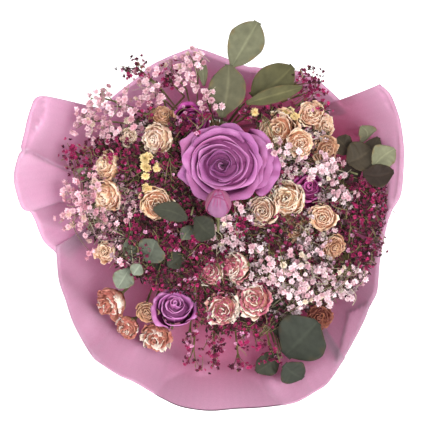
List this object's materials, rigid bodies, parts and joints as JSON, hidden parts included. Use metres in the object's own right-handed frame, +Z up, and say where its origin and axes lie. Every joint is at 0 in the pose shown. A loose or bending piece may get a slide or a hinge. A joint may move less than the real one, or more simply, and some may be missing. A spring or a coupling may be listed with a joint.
{
  "type": "dried flower bouquet",
  "caption": "Dried flower bouquet lying down: a large preserved rose among spray roses, florets and leaves in a flared paper wrap tied with a ribbon.",
  "frame": {"origin": "centre of the bounding box's base, on the surface that the bouquet lies on", "axes": "+Z up, +Y from the open face of the flowers towards the cut stems, +X to the right as seen from the face"},
  "size_m": [0.2964, 0.3658, 0.2225],
  "materials": {
    "big_rose": "matte preserved petals",
    "mauve_rose_low": "matte preserved petals",
    "mauve_rose_right": "matte preserved petals",
    "mauve_rose_top": "matte preserved petals",
    "mauve_bud": "matte preserved petals",
    "peach_rose_01": "matte dried petals",
    "peach_rose_02": "matte dried petals",
    "peach_rose_03": "matte dried petals",
    "peach_rose_04": "matte dried petals",
    "peach_rose_05": "matte dried petals",
    "peach_rose_06": "matte dried petals",
    "peach_rose_07": "matte dried petals",
    "peach_rose_08": "matte dried petals",
    "peach_rose_09": "matte dried petals",
    "peach_rose_10": "matte dried petals",
    "peach_rose_11": "matte dried petals",
    "peach_rose_12": "matte dried petals",
    "peach_rose_13": "matte dried petals",
    "peach_rose_14": "matte dried petals",
    "peach_rose_15": "matte dried petals",
    "peach_rose_16": "matte dried petals",
    "peach_rose_17": "matte dried petals",
    "peach_rose_18": "matte dried petals",
    "peach_rose_19": "matte dried petals",
    "peach_rose_20": "matte dried petals",
    "peach_rose_21": "matte dried petals",
    "peach_rose_22": "matte dried petals",
    "peach_rose_23": "matte dried petals",
    "peach_rose_24": "matte dried petals",
    "peach_rose_25": "matte dried petals",
    "peach_rose_26": "matte dried petals",
    "big_rose_stem": "matte dried stem",
    "mauve_rose_stem": "matte dried stem",
    "peach_rose_stem_1": "matte dried stem",
    "peach_rose_stem_2": "matte dried stem",
    "peach_rose_stem_3": "matte dried stem",
    "peach_rose_stem_4": "matte dried stem",
    "peach_rose_stem_5": "matte dried stem",
    "peach_rose_stem_6": "matte dried stem",
    "peach_rose_stem_7": "matte dried stem",
    "leafy_stem_top": "matte dried leaf",
    "leafy_stem_left": "matte dried leaf",
    "leafy_stem_middle": "matte dried leaf",
    "leafy_stem_right": "matte dried leaf",
    "leafy_stem_low": "matte dried leaf",
    "gypsophila_top_left": "matte dried florets",
    "gypsophila_left": "matte dried florets",
    "gypsophila_right": "matte dried florets",
    "gypsophila_low_right": "matte dried florets",
    "gypsophila_middle": "matte dried florets",
    "statice_top_left": "matte dried florets",
    "statice_right": "matte dried florets",
    "statice_middle": "matte dried florets",
    "statice_low": "matte dried florets",
    "cream_spray": "matte dried buds",
    "wrap_bottom": "soft non-woven paper",
    "wrap_right": "soft non-woven paper",
    "wrap_left_top": "soft non-woven paper",
    "twine": "rough jute",
    "ribbon": "satin ribbon"
  },
  "bodies": {
    "root": {"big_rose": "big_rose", "mauve_rose_low": "mauve_rose_low", "mauve_rose_right": "mauve_rose_right", "mauve_rose_top": "mauve_rose_top", "mauve_bud": "mauve_bud", "peach_rose_01": "peach_rose_01", "peach_rose_02": "peach_rose_02", "peach_rose_03": "peach_rose_03", "peach_rose_04": "peach_rose_04", "peach_rose_05": "peach_rose_05", "peach_rose_06": "peach_rose_06", "peach_rose_07": "peach_rose_07", "peach_rose_08": "peach_rose_08", "peach_rose_09": "peach_rose_09", "peach_rose_10": "peach_rose_10", "peach_rose_11": "peach_rose_11", "peach_rose_12": "peach_rose_12", "peach_rose_13": "peach_rose_13", "peach_rose_14": "peach_rose_14", "peach_rose_15": "peach_rose_15", "peach_rose_16": "peach_rose_16", "peach_rose_17": "peach_rose_17", "peach_rose_18": "peach_rose_18", "peach_rose_19": "peach_rose_19", "peach_rose_20": "peach_rose_20", "peach_rose_21": "peach_rose_21", "peach_rose_22": "peach_rose_22", "peach_rose_23": "peach_rose_23", "peach_rose_24": "peach_rose_24", "peach_rose_25": "peach_rose_25", "peach_rose_26": "peach_rose_26", "big_rose_stem": "big_rose_stem", "mauve_rose_stem": "mauve_rose_stem", "peach_rose_stem_1": "peach_rose_stem_1", "peach_rose_stem_2": "peach_rose_stem_2", "peach_rose_stem_3": "peach_rose_stem_3", "peach_rose_stem_4": "peach_rose_stem_4", "peach_rose_stem_5": "peach_rose_stem_5", "peach_rose_stem_6": "peach_rose_stem_6", "peach_rose_stem_7": "peach_rose_stem_7", "leafy_stem_top": "leafy_stem_top", "leafy_stem_left": "leafy_stem_left", "leafy_stem_middle": "leafy_stem_middle", "leafy_stem_right": "leafy_stem_right", "leafy_stem_low": "leafy_stem_low", "gypsophila_top_left": "gypsophila_top_left", "gypsophila_left": "gypsophila_left", "gypsophila_right": "gypsophila_right", "gypsophila_low_right": "gypsophila_low_right", "gypsophila_middle": "gypsophila_middle", "statice_top_left": "statice_top_left", "statice_right": "statice_right", "statice_middle": "statice_middle", "statice_low": "statice_low", "cream_spray": "cream_spray", "wrap_bottom": "wrap_bottom", "wrap_right": "wrap_right", "wrap_left_top": "wrap_left_top", "twine": "twine", "ribbon": "ribbon"}
  },
  "joints": []
}
